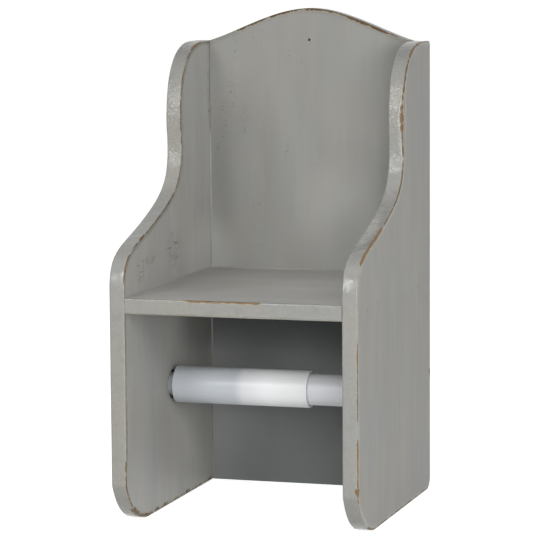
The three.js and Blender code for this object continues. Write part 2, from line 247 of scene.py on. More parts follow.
SHELF_LOWER_WEAR = (Stretch(-66, 64, 2.2, 0.38, 0.0),)
NO_WEAR = ()
WEAR_FADE = 5.0  # length over which a worn stretch starts and ends
WEAR_START = 0.4  # share of its loss at its very ends
IDLE_WEAR = 0.4  # chance wear that every corner has
IDLE_SHIFT = 0.25  # raises it, so that it is more common
IDLE_WAVE = 22.0
IDLE_WIDTH = 0.7
IDLE_STAIN = 0.5

# Colours of the paint, as they look on screen
COOL_GREY = (151, 151, 149)
WARM_GREY = (155, 153, 147)
EDGE_TONE = -7.0  # lightness of the paint on the boards' edges, in screen levels: painted shade for how the lamps fall on the edges
EDGE_YELLOW = 1.0  # how much yellower it is
BROAD_MARKS = (114, 114, 110)
BRUSH_MARKS = (106, 106, 102)
FINE_MARKS = (104, 102, 93)
MOTTLING = (120, 120, 114)
# Painted light and painted shade for the soft patches on the faces
PAINTED_LIGHT_COLOUR = (214, 214, 210)
PAINTED_SHADE_COLOUR = (66, 68, 65)
# Painted shade on the back panel's front, and in its bay a cool tint of painted shade, painted light at
# the left and painted shade under the shelf and at the foot
PANEL_SHADE = (106, 106, 100)
BAY_SHADE_TINT = (150, 156, 160)
BAY_PAINTED_LIGHT = (188, 189, 188)
BAY_PAINTED_SHADE = (62, 66, 70)
# Grey of the filled dimples, and painted shade in the hollows, the inside corners and the wing crowns
GRIME_AND_SHADE = (79, 78, 72)
HOLE_DIRT = (79, 79, 72)
SCUFF_DIRT = (83, 76, 60)
PRIMER = (163, 158, 133)
FRESH_WOOD = ((95, 72, 43), (139, 106, 64))  # its dark and its light fibres
STAINED_WOOD = ((57, 45, 34), (93, 74, 53))

# Marks on the boards' faces. A spot has a centre and how far it reaches along each axis, and a patch,
# which is painted light where it is paler and painted shade where it is duller, also has its share in
# the middle.
Spot = namedtuple("Spot", "centre reach")
Patch = namedtuple("Patch", "centre reach share")
LEFT_SCUFFS = (
    Spot((-70, 3, 166), (4, 18, 15)),
    Spot((-70, -42, 165), (4, 16, 6)),
    Spot((-70, -60, 160), (4, 14, 12)),
    Spot((-70, 78, 268), (4, 4, 34)),
)
LEFT_PAINTED_LIGHT = (
    Patch((-70, 70, 152), (4, 55, 42), 0.34),
    Patch((-70, 55, 38), (4, 62, 50), 0.34),
)
LEFT_PAINTED_SHADE = (Patch((-70, 62, 112), (4, 62, 36), 0.46),)
RIGHT_SCUFFS = (
    Spot((80, 78, 131), (4, 8, 5)),
    Spot((80, -44, 141), (4, 3, 2)),
)
RIGHT_PAINTED_LIGHT = (Patch((72, -38, 190), (7, 40, 28), 0.34),)
BACK_PIN_HOLES = (
    Spot((-14, 80, 284), (2, 4, 12)),
    Spot((-5, 80, 286), (2, 4, 6)),
    Spot((-16, 80, 225), (4, 4, 6)),
    Spot((-39, 80, 188), (2, 4, 6)),
    Spot((-34, 80, 148), (3, 4, 2)),
    Spot((-52, 80, 296), (3, 4, 12)),
    Spot((-38, 80, 297), (2, 4, 10)),
    Spot((-54, 80, 264), (5, 4, 18)),
    Spot((-60, 80, 245), (5, 4, 20)),
    Spot((-47, 80, 237), (4, 4, 6)),
    Spot((-65, 80, 226), (3, 4, 8)),
)
BACK_PAINTED_LIGHT = (
    Patch((25, 80, 172), (45, 4, 60), 0.25),
    Patch((40, 80, 260), (45, 4, 60), 0.1),
    Patch((-70, 80, 152), (28, 4, 36), 0.24),
    Patch((45, 80, 100), (48, 4, 32), 0.03),
)
BACK_PAINTED_SHADE = (
    Patch((-44, 80, 215), (42, 4, 78), 0.24),
    Patch((-50, 80, 100), (48, 4, 32), 0.26),
)
SHELF_PAINTED_LIGHT = (
    Patch((25, 0, 145), (42, 60, 4), 0.32),
    Patch((-70, -40, 145), (12, 40, 4), 0.3),
)
SHELF_PAINTED_SHADE = (Patch((-43, -20, 145), (34, 60, 4), 0.18),)

# Colours of the plastic, and of the steel where it is clean and where it is tarnished
OUTER_PLASTIC = (199, 204, 210)
INNER_PLASTIC = (235, 238, 243)
DOUBLE_WALL_LIGHT = (252, 253, 255)  # painted light: the outer sleeve where the inner one lies behind it, lit back through its thin wall
SPRING_STEEL = ((176, 176, 174), (128, 124, 118))
BRAD_STEEL = ((150, 150, 146), (104, 98, 90))

# Rows of points next to a corner: on the faces, round the corner and across the edge
FACE_INSETS = (8.1, 4.6, 2.5)
ROUND_STEPS = 6
HALF_EDGE_STEPS = 3
SHARP_ANGLE = math.radians(38)

# Camera, solved from the straight edges of the boards and refined on the silhouette. Its place is
# in metres and its turns are in degrees.
CAMERA_PLACE = (0.52919, -1.70589, 0.36490)
CAMERA_YAW = 17.3358
CAMERA_PITCH = 6.7171
CAMERA_ROLL = -0.4090
CAMERA_LENS = 186.7682
SENSOR = 36.0

# Studio, in metres, degrees and watts. A lamp's azimuth runs from straight ahead to the right.
Lamp = namedtuple("Lamp", "name azimuth elevation width height watts")
LAMPS = (
    Lamp("key_light", 17, 30, 0.35, 0.35, 3.9),
    Lamp("low_light", 24, 5, 0.35, 0.35, 3.9),
    Lamp("right_light", 46, 6, 0.8, 0.8, 9.4),
    Lamp("top_light", -60, 65, 1.2, 1.2, 3.4),
    Lamp("strip_light", -17, 22, 0.3, 0.75, 5.5),
    Lamp("rear_light", 238, 8, 0.8, 0.8, 5.0),
)
LAMP_DISTANCE = 1.5
LAMP_AIM = (0.0, 0.0, 0.16)
SKY_LEVEL = 0.168
FLOOR_REACH = 40.0
FLOOR_GLOW = 0.85  # to the rays that show the background
FLOOR_COLOURS = ((212, 212, 210), (218, 218, 216))
WHITE = (1.0, 1.0, 1.0, 1.0)


# Shader building

def srgb(red, green, blue):
    """A colour as it looks on screen, 0 to 255, in the linear values that shaders take"""
    def linear(level):
        share = level / 255
        return share / 12.92 if share <= 0.04045 else ((share + 0.055) / 1.055) ** 2.4
    return (linear(red), linear(green), linear(blue), 1.0)


class Shader:
    """Short ways to build the nodes of one material"""

    def __init__(self, name):
        self.material = bpy.data.materials.new(name)
        self.material.use_nodes = True
        self.tree = self.material.node_tree
        self.surface = self.tree.nodes["Principled BSDF"]

    def node(self, kind, inputs=None, **settings):
        made = self.tree.nodes.new(kind)
        for name, value in settings.items():
            setattr(made, name, value)
        for socket, value in (inputs or {}).items():
            self.put(made, socket, value)
        return made

    def put(self, made, socket, value):
        if isinstance(value, bpy.types.NodeSocket):
            self.tree.links.new(value, made.inputs[socket])
        else:
            made.inputs[socket].default_value = value

    def set(self, **sockets):
        for name, value in sockets.items():
            self.put(self.surface, name.replace("_", " "), value)

    def millimetres(self):
        place = self.node("ShaderNodeTexCoord").outputs["Object"]
        inputs = {0: place, "Scale": 1 / MM}
        return self.node("ShaderNodeVectorMath", inputs, operation="SCALE").outputs[0]

    def stretched(self, place, axis, across, along):
        """Places scaled by one factor along an axis and by another across it"""
        scale = tuple(along if k == axis else across for k in range(3))
        return self.node("ShaderNodeMapping", {"Vector": place, "Scale": scale}).outputs[0]

    def noise(self, place, scale, detail=2.0, roughness=0.5):
        inputs = {"Vector": place, "Scale": scale, "Detail": detail, "Roughness": roughness}
        return self.node("ShaderNodeTexNoise", inputs).outputs[0]

    def grain(self, place, axis, across, along, detail=2.0, roughness=0.5):
        """Noise drawn out along an axis"""
        return self.noise(self.stretched(place, axis, across, along), 1.0, detail, roughness)

    def math(self, operation, first, second):
        return self.node("ShaderNodeMath", {0: first, 1: second}, operation=operation).outputs[0]

    def plus(self, first, second):
        return self.math("ADD", first, second)

    def minus(self, first, second):
        return self.math("SUBTRACT", first, second)

    def times(self, first, second):
        return self.math("MULTIPLY", first, second)

    def most(self, first, second):
        return self.math("MAXIMUM", first, second)

    def fade(self, value, low, high, to_low=0.0, to_high=1.0):
        inputs = {"Value": value, 1: low, 2: high, 3: to_low, 4: to_high}
        return self.node("ShaderNodeMapRange", inputs, interpolation_type="SMOOTHSTEP").outputs[0]

    def mix(self, share, first, second):
        inputs = {0: share, 6: first, 7: second}
        return self.node("ShaderNodeMix", inputs, data_type="RGBA").outputs[2]

    def tint(self, coat, share, colour):
        return self.mix(share, coat, srgb(*colour))

    def along(self, place, axis):
        return self.node("ShaderNodeSeparateXYZ", {"Vector": place}).outputs[axis]

    def mark(self, name):
        return self.node("ShaderNodeAttribute", attribute_name=name).outputs["Fac"]

    def spot(self, place, mark):
        """1 at a spot's centre, falling to 0 at its reach along each axis"""
        away = self.node("ShaderNodeVectorMath", {0: place, 1: mark.centre}, operation="SUBTRACT")
        inputs = {0: away.outputs[0], 1: mark.reach}
        scaled = self.node("ShaderNodeVectorMath", inputs, operation="DIVIDE")
        length = self.node("ShaderNodeVectorMath", {0: scaled.outputs[0]}, operation="LENGTH")
        return self.fade(length.outputs["Value"], 0.3, 1.0, 1.0, 0.0)

    def bump(self, height, distance):
        inputs = {"Height": height, "Distance": distance * MM, "Strength": 1.0}
        self.set(Normal=self.node("ShaderNodeBump", inputs).outputs[0])


# Materials

def shifted(colour, level, yellow):
    """A colour made lighter by so many screen levels, and yellower"""
    red, green, blue = (share + level for share in colour)
    return (red, green, blue - yellow)


def brushed_coat(s, place, axis, tone, edge, brush, mottle):
    """Whole paint: greys that drift, brush marks along the axis and, on the edges, mottling"""
    warm = s.fade(s.grain(place, axis, 0.04, 0.02), 0.35, 0.65)
    shades = []
    # The faces' tone and the edges' tone are painted light and shade for how the lamps fall on each
    for level, yellow in ((tone, 0.0), (EDGE_TONE, EDGE_YELLOW)):
        cool, mild = (srgb(*shifted(grey, level, yellow)) for grey in (COOL_GREY, WARM_GREY))
        shades.append(s.mix(warm, cool, mild))
    coat = s.mix(edge, *shades)
    broad = s.grain(place, axis, 0.06, 0.012, 3.0)
    fine = s.grain(place, axis, 1.1, 0.02, 3.0, 0.55)
    coat = s.tint(coat, s.fade(broad, 0.3, 0.7, 0.0, 0.12), BROAD_MARKS)
    coat = s.tint(coat, s.fade(brush, 0.35, 0.7, 0.0, 0.05), BRUSH_MARKS)
    coat = s.tint(coat, s.fade(fine, 0.62, 0.75, 0.0, 0.06), FINE_MARKS)
    mottled = s.times(s.fade(mottle, 0.5, 0.7, 0.0, 0.25), edge)
    return s.tint(coat, mottled, MOTTLING)


def panel_light_and_shade(s, place, coat):
    """Painted light and shade on the back panel's front: a painted shadow of the left wing at its left,
    and painted shade towards its top. In the bay its paint has a cool tint of painted shade, painted
    light at the left, and painted shade under the shelf and at the foot."""
    sideways = s.along(place, X)
    height = s.along(place, Z)
    front = s.math("LESS_THAN", s.along(place, Y), BACK_FACE + 1.0)
    left_end = -25.0
    left = s.fade(sideways, -INNER, left_end, 0.18, 0.0)
    left = s.times(left, s.fade(height, 170.0, 215.0))
    top = s.fade(height, 190.0, 300.0, 0.0, 0.26)
    coat = s.tint(coat, s.times(s.most(left, top), front), PANEL_SHADE)
    below = s.math("LESS_THAN", height, SHELF_HEIGHT - SHELF_THICKNESS / 2)
    bay = s.times(below, front)
    coat = s.tint(coat, s.times(bay, 0.6), BAY_SHADE_TINT)
    paler = s.fade(sideways, -INNER, left_end, 0.5, 0.0)
    coat = s.tint(coat, s.times(bay, paler), BAY_PAINTED_LIGHT)
    under = s.fade(height, 74.0, 116.0, 0.0, 0.72)
    foot = s.fade(height, 2.0, 30.0, 0.3, 0.0)
    return s.tint(coat, s.times(s.most(under, foot), bay), BAY_PAINTED_SHADE)


def pin_holes(s, place, axis, spots):
    """Tiny dark holes of open grain: a few in chance patches and more at the spots given"""
    share = s.fade(s.grain(place, axis, 0.06, 0.03), 0.64, 0.74)
    for spot in spots:
        share = s.most(share, s.spot(place, spot))
    inputs = {"Vector": s.stretched(place, axis, 0.8, 0.5), "Scale": 1.0}
    cells = s.node("ShaderNodeTexVoronoi", inputs)
    return s.times(s.fade(cells.outputs["Distance"], 0.16, 0.3, 1.0, 0.0), share)


def scuffs(s, place, spots):
    """Short dark strokes, upright and level, at the spots given"""
    upright = s.grain(place, Z, 0.6, 0.07, 3.0, 0.6)
    level = s.grain(place, Z, 0.09, 0.7, 3.0, 0.6)
    drawn = s.most(s.fade(upright, 0.52, 0.66), s.fade(level, 0.53, 0.66))
    share = 0.0
    for spot in spots:
        share = s.most(s.spot(place, spot), share)
    return s.times(drawn, share)


def wear_off(s, place, axis, coat):
    """Bares primer and then wood by the corners' own marks, broken up along the grain. Gives the
    colour, and where the wood is bare."""
    ragged = s.grain(place, axis, 0.9, 0.22, 4.0, 0.65)
    broken = s.noise(place, 0.11)
    torn = s.times(s.mark("wear"), s.fade(ragged, 0.3, 0.7, 0.65, 1.35))
    torn = s.times(torn, s.fade(broken, 0.35, 0.6, 0.75, 1.15))
    primed = s.fade(torn, 0.20, 0.42)
    bare = s.fade(torn, 0.44, 0.64)
    fibre = s.grain(place, axis, 1.4, 0.15, 4.0, 0.6)
    woods = [s.mix(fibre, srgb(*dark), srgb(*light)) for dark, light in (FRESH_WOOD, STAINED_WOOD)]
    wood = s.mix(s.mark("stain"), *woods)
    coat = s.tint(coat, s.times(primed, 0.45), PRIMER)
    return s.mix(bare, coat, wood), bare


def paint_relief(s, place, edge, brush, holes, bare):
    """Brush marks, orange peel and pin holes. The edges are dented, and pebbled on the wings."""
    peel = s.noise(place, 0.9, 3.0, 0.6)
    peeled = s.times(peel, s.minus(0.7, s.times(edge, 0.5)))
    pebbled = s.times(edge, s.fade(s.along(place, Z), 205.0, 230.0, 0.0, 3.4))
    pebbles = s.times(s.noise(place, 0.5), pebbled)
    skin = s.plus(s.times(brush, 0.5), s.plus(peeled, pebbles))
    skin = s.minus(skin, s.times(holes, 0.8))
    dents = s.times(s.noise(place, 0.15, 1.0), s.times(edge, 5.0))
    film = s.minus(1.0, bare)
    s.bump(s.plus(s.plus(skin, dents), film), 0.12)


def paint(name, axis, tone, specular=0.35, holed=(), rubbed=(), painted_light=(), painted_shade=(), panel=False):
    """Brushed chalky grey paint over primer over wood. The brush went along the given axis. Tone makes
    the board's faces lighter or darker than the paint on its edges, which is glossier; both tones are
    painted light and shade for how the lamps fall on each. Holed and rubbed are spots of pin holes and
    scuffs, and the paler and duller patches are soft painted light and painted shade. Panel is for the
    back panel, with its painted light and shade."""
    s = Shader(name)
    place = s.millimetres()
    edge = s.mark("edge")
    brush = s.grain(place, axis, 0.45, 0.012, 4.0, 0.6)
    mottle = s.noise(place, 0.17, 3.0, 0.55)
    coat = brushed_coat(s, place, axis, tone, edge, brush, mottle)
    # The back panel's painted light and shade
    if panel:
        coat = panel_light_and_shade(s, place, coat)
    # Soft patches of painted light and painted shade
    for patches, colour in ((painted_light, PAINTED_LIGHT_COLOUR), (painted_shade, PAINTED_SHADE_COLOUR)):
        for patch in patches:
            coat = s.tint(coat, s.times(s.spot(place, patch), patch.share), colour)
    # The filler's grey in the dimples, and painted shade in the sockets, the nail hole, the panel's
    # foot, the shelf's back corners and the wing crowns
    coat = s.tint(coat, s.times(s.mark("grime_and_shade"), 0.6), GRIME_AND_SHADE)
    holes = s.times(pin_holes(s, place, axis, holed), s.minus(1.0, edge))
    coat = s.tint(coat, s.times(holes, 0.6), HOLE_DIRT)
    if rubbed:
        coat = s.tint(coat, s.times(scuffs(s, place, rubbed), 0.6), SCUFF_DIRT)
    colour, bare = wear_off(s, place, axis, coat)
    gloss = s.times(edge, s.fade(mottle, 0.35, 0.6, 0.36, 0.2))
    sheen = s.minus(s.fade(brush, 0.2, 0.8, 0.46, 0.58), gloss)
    s.set(Base_Color=colour, Roughness=s.plus(sheen, s.times(bare, 0.2)))
    s.set(Specular_IOR_Level=specular)
    paint_relief(s, place, edge, brush, holes, bare)
    return s.material


def roller_plastic(name, thin, doubled=None):
    """Thin white moulded plastic. It lets light through, so it is greyer than where a second wall lies
    behind it, which is from the x given as doubled to the right. The whiter band there, growing
    brighter over its first 22 mm, is painted light."""
    s = Shader(name)
    place = s.millimetres()
    flow = s.grain(place, X, 0.08, 0.02, 3.0)
    scratch = s.grain(place, X, 1.6, 0.04, 3.0, 0.6)
    peel = s.noise(place, 1.3)
    wall = s.mix(flow, srgb(*shifted(thin, -5, 0)), srgb(*thin))
    if doubled is not None:
        # Painted light: the whiter band where the second wall lies behind
        sideways = s.along(place, X)
        start = s.fade(sideways, doubled - 4.0, doubled + 4.0, 0.0, 0.5)
        core = s.fade(sideways, doubled, doubled + 22.0, 0.0, 0.5)
        wall = s.tint(wall, s.plus(start, core), DOUBLE_WALL_LIGHT)
    s.set(Base_Color=wall, Roughness=s.fade(scratch, 0.3, 0.7, 0.26, 0.36), IOR=1.49)
    s.bump(s.plus(s.times(scratch, 0.3), peel), 0.02)
    return s.material


def steel(name, light, dark):
    """Drawn steel: fine lines along the holder's width and a little tarnish"""
    s = Shader(name)
    place = s.millimetres()
    drawn = s.grain(place, X, 3.0, 0.2, 3.0)
    tarnish = s.noise(place, 0.25, 3.0)
    s.set(Base_Color=s.mix(s.fade(tarnish, 0.35, 0.7), srgb(*light), srgb(*dark)))
    s.set(Metallic=1.0, Roughness=s.fade(drawn, 0.3, 0.7, 0.25, 0.45))
    s.bump(drawn, 0.02)
    return s.material


# Mesh building

class Shell:
    """One mesh in the making: points, the marks that the paint reads at each, and faces"""
    MARKS = ("wear", "stain", "grime_and_shade", "edge")

    def __init__(self):
        self.points = []
        self.marks = []
        self.faces = []

    def add(self, point, wear=0.0, stain=0.0, grime_and_shade=0.0, edge=0.0):
        self.points.append(Vector(point))
        self.marks.append((wear, stain, grime_and_shade, edge))
        return len(self.points) - 1

    def join(self, rows, closed=True):
        """Faces between each row of points and the next, where closed rows are rings"""
        for row, other in zip(rows, rows[1:]):
            count = len(row)
            for i in range(count if closed else count - 1):
                j = (i + 1) % count
                self.faces.append((row[i], row[j], other[j], other[i]))

    def cap(self, rings):
        self.faces += [tuple(rings[0]), tuple(rings[-1])]

    def fan(self, ring, tip):
        for i in range(len(ring)):
            self.faces.append((ring[i - 1], ring[i], tip))

    def fill(self, loops, across, up):
        """Flat face inside the first loop and outside the others, drawn in two of the axes"""
        corners = [index for loop in loops for index in loop]
        flat = [Vector((self.points[index][across], self.points[index][up])) for index in corners]
        edges = []
        for loop in loops:
            first = len(edges)
            edges += [(first + i, first + (i + 1) % len(loop)) for i in range(len(loop))]
        made = geometry.delaunay_2d_cdt(flat, edges, [], 1, 1e-6)
        holes = [set(loop) for loop in loops[1:]]
        for face in made[2]:
            points = [corners[made[3][v][0]] for v in face]
            if not any(hole.issuperset(points) for hole in holes):
                self.faces.append(points)

    def pit(self, rings, spot, sides, grime_and_shade=0.0, through=False):
        """Round hollow: rings of (radius, depth), with spot() placing a radius, angle and depth"""
        turns = [2 * math.pi * k / sides for k in range(sides)]
        rows = []
        for radius, depth in rings:
            # Darker towards the inside: painted shade in the hollows, and the filler's grey in the
            # dimples
            share = grime_and_shade * min(1.0, len(rows) / 2)
            rows.append([self.add(spot(radius, turn, depth), grime_and_shade=share) for turn in turns])
        self.join(rows)
        if not through:
            self.fan(rows[-1], self.add(spot(0.0, 0.0, rings[-1][1]), grime_and_shade=grime_and_shade))
        return rows

    def make(self, name, body, slot, material, *replaced):
        mesh = bpy.data.meshes.new(name)
        mesh.from_pydata([point * MM for point in self.points], [], self.faces)
        for k, label in enumerate(self.MARKS):
            layer = mesh.attributes.new(label, "FLOAT", "POINT")
            layer.data.foreach_set("value", [marks[k] for marks in self.marks])
        work = bmesh.new()
        work.from_mesh(mesh)
        bmesh.ops.recalc_face_normals(work, faces=work.faces)
        for edge in work.edges:
            edge.smooth = edge.calc_face_angle(0.0) < SHARP_ANGLE
        for face in work.faces:
            face.smooth = True
        work.to_mesh(mesh)
        work.free()
        mesh.materials.append(material)
        piece = bpy.data.objects.new(name, mesh)
        bpy.context.collection.objects.link(piece)
        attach(piece, body)
        if replaced:
            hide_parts(*replaced)
        return piece


def uneven(point, size):
    """Smooth hand-made unevenness, 0 to 1, with bumps of about the given size"""
    return 0.5 + 0.5 * noise.noise(Vector(point) / size)


def edge_round(point, wave):
    """Round of a free edge's corners, which varies along the edge"""
    return EDGE_ROUND * (ROUND_LEAST + ROUND_REST * uneven(point, wave))


def curve(a, b, c, d):
    """Points of a Bezier curve in a plane, without its last one"""
    ends = [Vector((*p, 0.0)) for p in (a, b, c, d)]
    return [tuple(p[:2]) for p in geometry.interpolate_bezier(*ends, CURVE_STEPS)[:-1]]


def even_steps(points):
    """A closed path cut again into even steps"""
    ring = np.vstack([points, points[:1]])
    reach = np.concatenate([[0.0], np.cumsum(np.linalg.norm(np.diff(ring, axis=0), axis=1))])
    at = np.linspace(0.0, reach[-1], round(reach[-1] / OUTLINE_STEP), endpoint=False)
    return np.column_stack([np.interp(at, reach, ring[:, k]) for k in (0, 1)])


def outward_of(ring):
    """Unit normals of a clockwise outline, pointing out of the board"""
    ahead = np.roll(ring, -1, axis=0) - np.roll(ring, 1, axis=0)
    ahead /= np.linalg.norm(ahead, axis=1)[:, None]
    return np.column_stack([-ahead[:, 1], ahead[:, 0]])


def room_inside(ring):
    """How far each point of a clockwise outline can move in before the outline folds"""
    free = 1e3  # more room than any row needs
    straight = 1e-6
    usable = 0.8
    spread = 0.7  # most that the room may change from point to point, in steps
    legs = np.roll(ring, -1, axis=0) - ring
    before = np.roll(legs, 1, axis=0)
    turn = before[:, 0] * legs[:, 1] - before[:, 1] * legs[:, 0]
    step = np.linalg.norm(legs, axis=1).mean()
    room = np.full(len(ring), free)
    corner = turn < -straight
    room[corner] = usable * step ** 3 / -turn[corner]
    for _ in range(2):
        for i in range(len(room)):
            room[i] = min(room[i], room[i - 1] + spread * step)
        for i in reversed(range(len(room))):
            room[i - 1] = min(room[i - 1], room[i] + spread * step)
    return room


# One row of points along a board's free edge: how far inside the outline, how far through the
# board, at which of the two corners, how far along the skin from it, and whether on the edge
EdgeRow = namedtuple("EdgeRow", "inset through corner reach edge")


def half_edge(thickness, radius, corner):
    """Rows from a board's face round one corner to the middle of its edge"""
    quarter = math.pi / 4
    rows = []
    for inset in FACE_INSETS:
        rows.append(EdgeRow(inset + radius, 0.0, corner, inset + radius * quarter, 0.0))
    for k in range(ROUND_STEPS + 1):
        turn = 2 * quarter * k / ROUND_STEPS
        inset = radius * (1 - math.sin(turn))
        through = radius * (1 - math.cos(turn))
        rows.append(EdgeRow(inset, through, corner, radius * abs(turn - quarter), 1.0))
    flat = thickness / 2 - radius
    for k in range(1, HALF_EDGE_STEPS + 1):
        reach = flat * k / HALF_EDGE_STEPS
        rows.append(EdgeRow(0.0, radius + reach, corner, radius * quarter + reach, 1.0))
    return rows


def edge_rows(thickness, first_radius, second_radius):
    """Rows across a board's free edge from its first face to its second"""
    second = reversed(half_edge(thickness, second_radius, 1)[:-1])
    turned = [row._replace(through=thickness - row.through) for row in second]
    return half_edge(thickness, first_radius, 0) + turned


# Wear at one place along a corner
Worn = namedtuple("Worn", "loss width stain")


def wear_along(places, stretches, seed, closed):
    """Wear at each of the places along a corner. On a closed outline a stretch runs the shorter
    way round."""
    count = len(places)
    table = []
    for point in places:
        chance = noise.noise(Vector((point[0] / IDLE_WAVE, point[1] / IDLE_WAVE, seed)))
        table.append(Worn(IDLE_WEAR * max(0.0, chance + IDLE_SHIFT), IDLE_WIDTH, IDLE_STAIN))
    step = np.linalg.norm(places[1] - places[0])
    for stretch in stretches:
        ends = []
        for end in (stretch.start, stretch.end):
            gaps = np.linalg.norm(places - np.array(end), axis=1)
            ends.append(int(np.argmin(gaps)))
        first, last = sorted(ends)
        if closed and last - first > count / 2:
            first, last = last, first + count
        for i in range(first, last + 1):
            fade = min(1.0, WEAR_START + min(i - first, last - i) * step / WEAR_FADE)
            if fade * stretch.loss > table[i % count].loss:
                table[i % count] = Worn(fade * stretch.loss, stretch.width, stretch.stain)
    return table


def along_line(line, stretches, seed):
    """Wear along a straight corner, from stretches given by x alone"""
    placed = [w._replace(start=(w.start, 0.0), end=(w.end, 0.0)) for w in stretches]
    return wear_along(line, placed, seed, False)


def add_worn(shell, point, worn, row, grime_and_shade=0.0):
    """Adds a point of an edge row, with the wear that is left at its distance from the corner"""
    wear = worn.loss * max(0.0, 1 - row.reach / worn.width)
    return shell.add(point, wear, worn.stain, grime_and_shade, row.edge)


# Boards

def side_outline():
    """Outline of a side in (y, z), clockwise from the heel along the floor to the foot"""
    def at(depth, z):
        return (REAR - depth, z)

    toe = FRONT + FOOT_RADIUS * math.sin(FOOT_TURN)
    foot = []
    for k in range(CURVE_STEPS + 1):
        turn = FOOT_TURN * k / CURVE_STEPS
        foot.append((toe - FOOT_RADIUS * math.sin(turn), FOOT_RADIUS * (1 - math.cos(turn))))
    sweep = SWEEP_PULL * (KNEE[0] - WAIST[0])
    pinch = WAIST_PULL * (WING[1] - WAIST[1])
    arm = curve(
        at(DEPTH, ARM_START), at(DEPTH, ARM_START + ARM_SHOULDER),
        at(KNEE[0] + ARM_REACH, KNEE[1] - ARM_SLOPE * ARM_REACH), at(*KNEE))
    rise = curve(
        at(*KNEE), at(KNEE[0] - sweep, KNEE[1] + ARM_SLOPE * sweep),
        at(WAIST[0], WAIST[1] - SWEEP_DROP * (WAIST[1] - KNEE[1])), at(*WAIST))
    wing = curve(
        at(*WAIST), at(WAIST[0], WAIST[1] + pinch), at(WING[0], WING[1] - pinch), at(*WING))
    crown = curve(
        at(*WING), at(WING[0], WING[1] + CROWN_DROP * (SIDE_HEIGHT - WING[1])),
        at(CROWN_FLAT + CROWN_PULL * (WING[0] - CROWN_FLAT), SIDE_HEIGHT),
        at(CROWN_FLAT, SIDE_HEIGHT))
    corner = curve(
        at(TOP_CORNER, SIDE_HEIGHT), at(TOP_CORNER / 2, SIDE_HEIGHT),
        at(0.0, SIDE_HEIGHT - TOP_CORNER / 2), at(0.0, SIDE_HEIGHT - TOP_CORNER))
    pull = HEEL_PULL * HEEL_RADIUS
    heel = curve(at(0.0, HEEL_RADIUS), at(0.0, pull), at(pull, 0.0), at(HEEL_RADIUS, 0.0))
    return np.array(foot + arm + rise + wing + crown + corner + heel)


def in_side(face, inward, y, z):
    """Places the rings of a hollow round (y, z) in a side's face, where inward leads into it"""
    def spot(radius, turn, depth):
        return (face + inward * depth, y + radius * math.cos(turn), z + radius * math.sin(turn))
    return spot


def build_side(name, hand, inner_wear, outer_wear, sanded, material):
    """A side, with the outer corner of its wing sanded rounder by so much"""
    round_seed, hollow_seed = 40 * hand, 90 * hand
    ring = even_steps(side_outline())
    outward = outward_of(ring)
    room = room_inside(ring)
    wear = (
        wear_along(ring, inner_wear, 3.1 * hand, True),
        wear_along(ring, outer_wear, 7.7 * hand, True))
    shell = Shell()
    columns = []
    for i, (y, z) in enumerate(ring):
        radius = edge_round((y, z, round_seed), SIDE_ROUND_WAVE)
        if y > REAR - TOP_CORNER or z < TOP_CORNER:
            radius = HIDDEN_ROUND
        # Painted shade on the edges up the wing crowns
        crown_shade = CROWN_SHADE_SHARE * min(1.0, max(0.0, (z - CROWN_SHADE_START) / (CROWN_SHADE_FULL - CROWN_SHADE_START)))
        near = math.exp(-((z - SANDED_HEIGHT) / SANDED_SPREAD) ** 2)
        rounder = sanded * near * max(0.0, -outward[i][0])
        column = []
        for row in edge_rows(SIDE_THICKNESS, radius, radius + rounder):
            wave = uneven((y, z, row.through + hollow_seed), SIDE_HOLLOW_WAVE)
            depth = min(row.inset + SIDE_HOLLOW * row.edge * wave, room[i])
            inside = ring[i] - depth * outward[i]
            point = (hand * (INNER + row.through), *inside)
            column.append(add_worn(shell, point, wear[row.corner][i], row, crown_shade * row.edge))
        columns.append(column)
    rows = list(zip(*columns))
    shell.join(rows)
    outer_face = hand * (INNER + SIDE_THICKNESS)
    in_socket = in_side(hand * INNER, hand, 0.0, AXIS_HEIGHT)
    # Painted shade inside the socket
    socket = shell.pit(SOCKET_RINGS, in_socket, SOCKET_SIDES, grime_and_shade=0.8)
    shell.fill([rows[0], socket[0]], Y, Z)
    rims = []
    for y, z in DIMPLES:
        in_dimple = in_side(outer_face, -hand, y, z)
        rims.append(shell.pit(DIMPLE_RINGS, in_dimple, SMALL_HOLLOW_SIDES, grime_and_shade=0.5)[0])
    shell.fill([rows[-1], *rims], Y, Z)
    return shell.make(f"{name}_board", "case", "paint", material, name)


def places_across(half_width):
    """Even places from left to right, and the same as points of a straight line"""
    places = np.linspace(-half_width, half_width, round(2 * half_width / OUTLINE_STEP))
    return places, np.column_stack([places, np.zeros(len(places))])


def level_edge(shell, places, wear, thickness, rounder, seeds, at):
    """Columns of points across the free edge of a board that lies between the sides. Its second
    corner is rounder by a factor. At() places a point of a column by how far it is inside the edge
    and how far through the board."""
    round_seed, hollow_seed = seeds
    columns = []
    for i, x in enumerate(places):
        radius = edge_round((x, 0.0, round_seed), PANEL_ROUND_WAVE)
        column = []
        for row in edge_rows(thickness, radius, rounder * radius):
            wave = uneven((x, row.through, hollow_seed), PANEL_HOLLOW_WAVE)
            point = at(i, row.inset + PANEL_HOLLOW * row.edge * wave, row.through)
            column.append(add_worn(shell, point, wear[row.corner][i], row))
        columns.append(column)
    return columns


def crest_line(places):
    """Height of the back panel's top edge at each place across it"""
    end = (INNER, SIDE_HEIGHT)
    tail = (INNER - CREST_TAIL, SIDE_HEIGHT + CREST_TAIL_RISE)
    half = curve((0.0, CREST_HEIGHT), (CREST_FLAT, CREST_HEIGHT), tail, end) + [end]
    away, up = zip(*half)
    return np.interp(np.abs(places), away, up)


